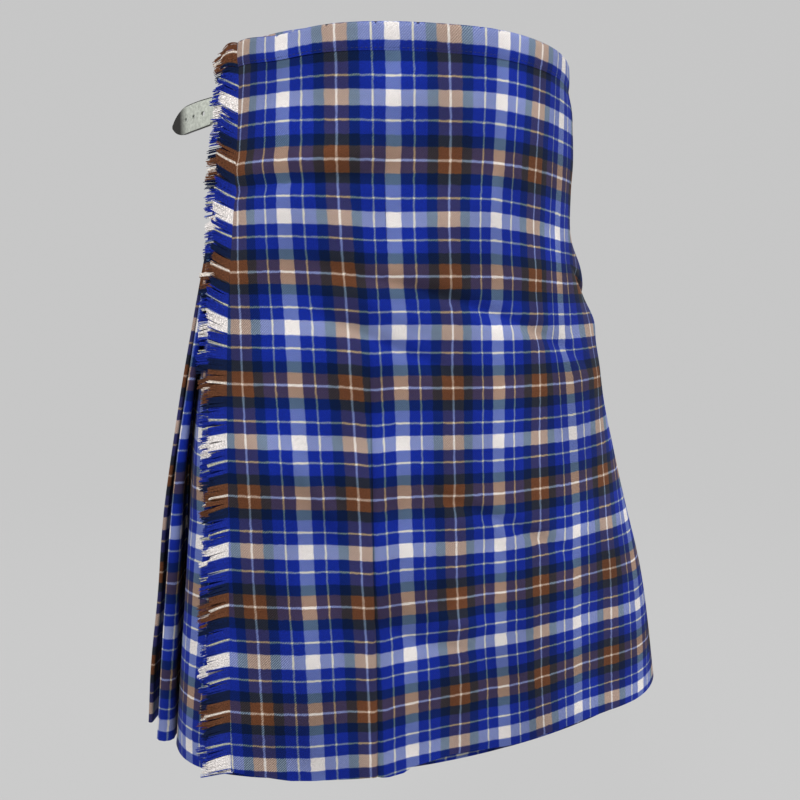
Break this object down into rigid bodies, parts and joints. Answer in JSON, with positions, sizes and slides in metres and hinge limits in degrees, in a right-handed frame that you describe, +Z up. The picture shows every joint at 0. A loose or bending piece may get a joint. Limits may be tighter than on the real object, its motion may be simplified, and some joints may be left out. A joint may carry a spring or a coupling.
{
  "type": "Scottish kilt",
  "caption": "Knee-length tartan wool kilt in its worn form, with an over-apron fringed down its free edge, a knife-pleated back, a waistband strip and buckled leather straps at the hips.",
  "frame": {"origin": "middle of the waist, level with the two hip straps, 50 mm below the top edge, where the wearer holds the kilt", "axes": "+Z up to the waistband's top edge, -Y to the wearer's front, +X to the wearer's left"},
  "size_m": [0.5219, 0.3622, 0.6169],
  "materials": {
    "tartan_wool": "matte twill",
    "fringe_wool": "matte, loose twisted wool",
    "black_leather": "polished",
    "nickel": "polished"
  },
  "bodies": {
    "root": {"over_apron": "tartan_wool", "under_apron": "tartan_wool", "pleated_back": "tartan_wool", "waistband": "tartan_wool", "fringe_outer": "fringe_wool", "fringe_inner": "fringe_wool", "strap_right": "black_leather", "strap_left": "black_leather", "buckle_tab_right": "black_leather", "buckle_tab_left": "black_leather", "buckle_frame_right": "nickel", "buckle_frame_left": "nickel", "buckle_prong_right": "nickel", "buckle_prong_left": "nickel"}
  },
  "joints": []
}
